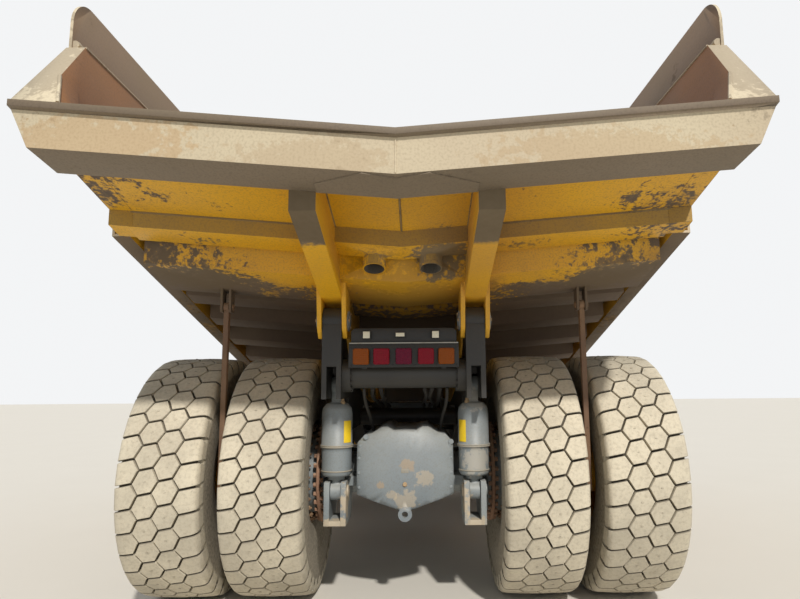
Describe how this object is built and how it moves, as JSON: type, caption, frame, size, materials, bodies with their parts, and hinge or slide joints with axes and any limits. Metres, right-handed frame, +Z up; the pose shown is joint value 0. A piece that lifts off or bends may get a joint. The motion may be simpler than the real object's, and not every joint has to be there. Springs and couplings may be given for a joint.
{
  "type": "rigid dump truck",
  "caption": "Rigid-frame off-highway dump truck with a tipping V-floor bed, twin rear wheels, steered front wheels, hoist cylinders and rock ejector bars.",
  "frame": {"origin": "on the ground at the middle of the bounding box's base", "axes": "+Z up, +Y towards the tail, -Y towards the nose, +X the truck's own left, where the cab stands; the wheels' axles lie along X"},
  "size_m": [5.26, 9.15, 4.57],
  "materials": {
    "yellow_paint": "semi-gloss machine paint, dusty and worn",
    "bed_paint": "worn paint with dirt and bare rusty steel where the load slides",
    "chassis_grey": "flat dark grey paint under dust",
    "axle_grey": "blue-grey paint under dust",
    "dark_metal": "satin black paint",
    "tyre": "dusty black rubber",
    "rubber": "matt",
    "glass": "lightly tinted, dusty",
    "hoist_chrome": "polished rod",
    "lamp_lens": "red and amber lenses",
    "seat_cloth": "dark woven cloth"
  },
  "bodies": {
    "frame": {"frame_rails": "chassis_grey", "frame_crossmembers": "chassis_grey", "rear_axle_housing": "axle_grey", "axle_a_frame": "axle_grey", "axle_pin": "axle_grey", "rear_struts": "axle_grey", "front_struts": "axle_grey", "front_lower_arms": "axle_grey", "engine_block": "dark_metal", "drive_line": "axle_grey", "front_bumper": "yellow_paint", "radiator_grille": "dark_metal", "deck": "yellow_paint", "front_ladders": "yellow_paint", "handrails": "yellow_paint", "cab_shell": "yellow_paint", "cab_glass": "glass", "cab_seat": "seat_cloth", "fuel_tank": "yellow_paint", "hydraulic_tank": "yellow_paint", "air_cleaners": "dark_metal", "exhaust": "dark_metal", "head_lamps": "glass", "mirrors": "dark_metal", "tail_lamp_bar": "dark_metal", "tail_lamps": "lamp_lens"},
    "bed": {"bed_floor": "bed_paint", "bed_bolsters": "bed_paint", "bed_side_left": "bed_paint", "bed_side_right": "bed_paint", "bed_front_wall": "bed_paint", "bed_pads": "rubber"},
    "cab_door": {"cab_door": "yellow_paint", "door_glass": "glass"},
    "hoist_barrel_left": {"hoist_barrel_left": "axle_grey"},
    "hoist_barrel_right": {"hoist_barrel_right": "axle_grey"},
    "hoist_stage_left": {"hoist_stage_left": "hoist_chrome"},
    "hoist_stage_right": {"hoist_stage_right": "hoist_chrome"},
    "hoist_rod_left": {"hoist_rod_left": "hoist_chrome"},
    "hoist_rod_right": {"hoist_rod_right": "hoist_chrome"},
    "rock_ejector_left": {"rock_ejector_left": "axle_grey"},
    "rock_ejector_right": {"rock_ejector_right": "axle_grey"},
    "knuckle_left": {"knuckle_left": "axle_grey"},
    "knuckle_right": {"knuckle_right": "axle_grey"},
    "tie_rod": {"tie_rod": "axle_grey"},
    "front_wheel_left": {"front_tyre_left": "tyre", "front_rim_left": "yellow_paint"},
    "front_wheel_right": {"front_tyre_right": "tyre", "front_rim_right": "yellow_paint"},
    "rear_wheels_left": {"rear_tyres_left": "tyre", "rear_rims_left": "yellow_paint"},
    "rear_wheels_right": {"rear_tyres_right": "tyre", "rear_rims_right": "yellow_paint"}
  },
  "joints": [
    {"name": "bed_tilt", "type": "hinge", "parent": "frame", "child": "bed", "pos_m": [0, 2.825, 2.44], "axis": [-1, 0, 0], "range_deg": [0, 48]},
    {"name": "cab_door_hinge", "type": "hinge", "parent": "frame", "child": "cab_door", "pos_m": [1.678, -2.433, 3.2], "axis": [0, 0, 1], "range_deg": [0, 75]},
    {"name": "steer_left", "type": "hinge", "parent": "frame", "child": "knuckle_left", "pos_m": [1.25, -2.375, 1.085], "axis": [0, 0, 1], "range_deg": [-35, 35]},
    {"name": "steer_right", "type": "hinge", "parent": "frame", "child": "knuckle_right", "pos_m": [-1.25, -2.375, 1.085], "axis": [0, 0, 1], "range_deg": [-35, 35]},
    {"name": "tie_rod_end", "type": "hinge", "parent": "knuckle_left", "child": "tie_rod", "pos_m": [1.25, -1.925, 0.96], "axis": [0, 0, 1], "range_deg": [-35, 35]},
    {"name": "hoist_swing_left", "type": "hinge", "parent": "frame", "child": "hoist_barrel_left", "pos_m": [0.86, 0.525, 0.85], "axis": [-1, 0, 0], "range_deg": [0, 39.51]},
    {"name": "hoist_stage_slide_left", "type": "slide", "parent": "hoist_barrel_left", "child": "hoist_stage_left", "axis": [0, -0.6905, 0.7234], "range_m": [0, 1.1267]},
    {"name": "hoist_rod_slide_left", "type": "slide", "parent": "hoist_stage_left", "child": "hoist_rod_left", "axis": [0, -0.6905, 0.7234], "range_m": [0, 1.1267]},
    {"name": "ejector_swing_left", "type": "hinge", "parent": "bed", "child": "rock_ejector_left", "pos_m": [1.56, 2.645, 2.59], "axis": [-1, 0, 0], "range_deg": [-48, 0]},
    {"name": "front_wheel_spin_left", "type": "hinge", "parent": "knuckle_left", "child": "front_wheel_left", "pos_m": [1.7575, -2.375, 1.085], "axis": [1, 0, 0], "continuous": true},
    {"name": "rear_wheels_spin_left", "type": "hinge", "parent": "frame", "child": "rear_wheels_left", "pos_m": [1.56, 1.925, 1.085], "axis": [1, 0, 0], "continuous": true},
    {"name": "hoist_swing_right", "type": "hinge", "parent": "frame", "child": "hoist_barrel_right", "pos_m": [-0.86, 0.525, 0.85], "axis": [-1, 0, 0], "range_deg": [0, 39.51]},
    {"name": "hoist_stage_slide_right", "type": "slide", "parent": "hoist_barrel_right", "child": "hoist_stage_right", "axis": [0, -0.6905, 0.7234], "range_m": [0, 1.1267]},
    {"name": "hoist_rod_slide_right", "type": "slide", "parent": "hoist_stage_right", "child": "hoist_rod_right", "axis": [0, -0.6905, 0.7234], "range_m": [0, 1.1267]},
    {"name": "ejector_swing_right", "type": "hinge", "parent": "bed", "child": "rock_ejector_right", "pos_m": [-1.56, 2.645, 2.59], "axis": [-1, 0, 0], "range_deg": [-48, 0]},
    {"name": "front_wheel_spin_right", "type": "hinge", "parent": "knuckle_right", "child": "front_wheel_right", "pos_m": [-1.7575, -2.375, 1.085], "axis": [1, 0, 0], "continuous": true},
    {"name": "rear_wheels_spin_right", "type": "hinge", "parent": "frame", "child": "rear_wheels_right", "pos_m": [-1.56, 1.925, 1.085], "axis": [1, 0, 0], "continuous": true}
  ],
  "couplings": [
    {"joint": "steer_right", "follows": "steer_left", "ratio": 1},
    {"joint": "tie_rod_end", "follows": "steer_left", "ratio": -1},
    {"joint": "hoist_swing_left", "follows": "bed_tilt", "ratio": 0.81269},
    {"joint": "hoist_stage_slide_left", "follows": "bed_tilt", "m_per_rad": 1.3389},
    {"joint": "hoist_rod_slide_left", "follows": "bed_tilt", "m_per_rad": 1.3389},
    {"joint": "ejector_swing_left", "follows": "bed_tilt", "ratio": -1},
    {"joint": "hoist_swing_right", "follows": "bed_tilt", "ratio": 0.81269},
    {"joint": "hoist_stage_slide_right", "follows": "bed_tilt", "m_per_rad": 1.3389},
    {"joint": "hoist_rod_slide_right", "follows": "bed_tilt", "m_per_rad": 1.3389},
    {"joint": "ejector_swing_right", "follows": "bed_tilt", "ratio": -1}
  ]
}
